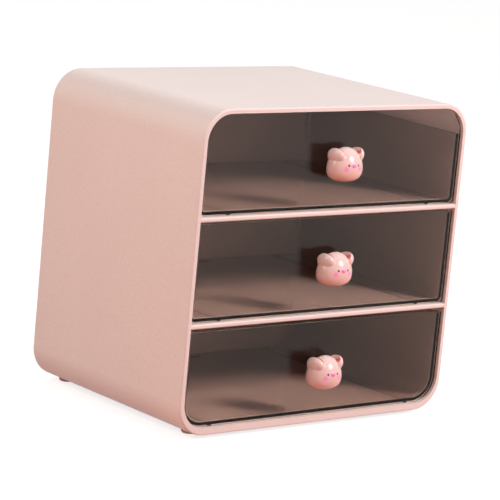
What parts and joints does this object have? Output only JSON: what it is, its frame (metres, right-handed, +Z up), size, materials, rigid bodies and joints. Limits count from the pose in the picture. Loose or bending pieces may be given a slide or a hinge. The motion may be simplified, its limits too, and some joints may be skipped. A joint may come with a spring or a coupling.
{
  "type": "make-up storage case with drawers",
  "caption": "Rounded desktop make-up case with stacked smoky clear drawers, each with a pig's-head pull, in a pink plastic housing on small feet.",
  "frame": {"origin": "on the standing surface, under the middle of the whole object with its pulls", "axes": "+X to the right, +Y to the back, +Z up; the drawers open towards -Y"},
  "size_m": [0.213, 0.1718, 0.203],
  "materials": {
    "housing": "satin moulded plastic, dusty pink",
    "smoky_clear": "clear plastic tinted smoky brown",
    "pull": "glossy moulded resin, pink",
    "foot": "soft pink rubber",
    "brass": "plain machined",
    "steel": "zinc plated"
  },
  "bodies": {
    "case": {"outer_shell": "housing", "back_cover": "housing", "upper_shelf": "housing", "lower_shelf": "housing", "foot_front_left": "foot", "foot_front_right": "foot", "foot_rear_left": "foot", "foot_rear_right": "foot"},
    "top_drawer": {"top_tray": "smoky_clear", "top_knob": "pull", "top_insert": "brass", "top_washer": "steel", "top_screw": "steel"},
    "middle_drawer": {"middle_tray": "smoky_clear", "middle_knob": "pull", "middle_insert": "brass", "middle_washer": "steel", "middle_screw": "steel"},
    "bottom_drawer": {"bottom_tray": "smoky_clear", "bottom_knob": "pull", "bottom_insert": "brass", "bottom_washer": "steel", "bottom_screw": "steel"}
  },
  "joints": [
    {"name": "top_drawer_slide", "type": "slide", "parent": "case", "child": "top_drawer", "axis": [0, -1, 0], "range_m": [0, 0.115]},
    {"name": "middle_drawer_slide", "type": "slide", "parent": "case", "child": "middle_drawer", "axis": [0, -1, 0], "range_m": [0, 0.115]},
    {"name": "bottom_drawer_slide", "type": "slide", "parent": "case", "child": "bottom_drawer", "axis": [0, -1, 0], "range_m": [0, 0.115]}
  ]
}
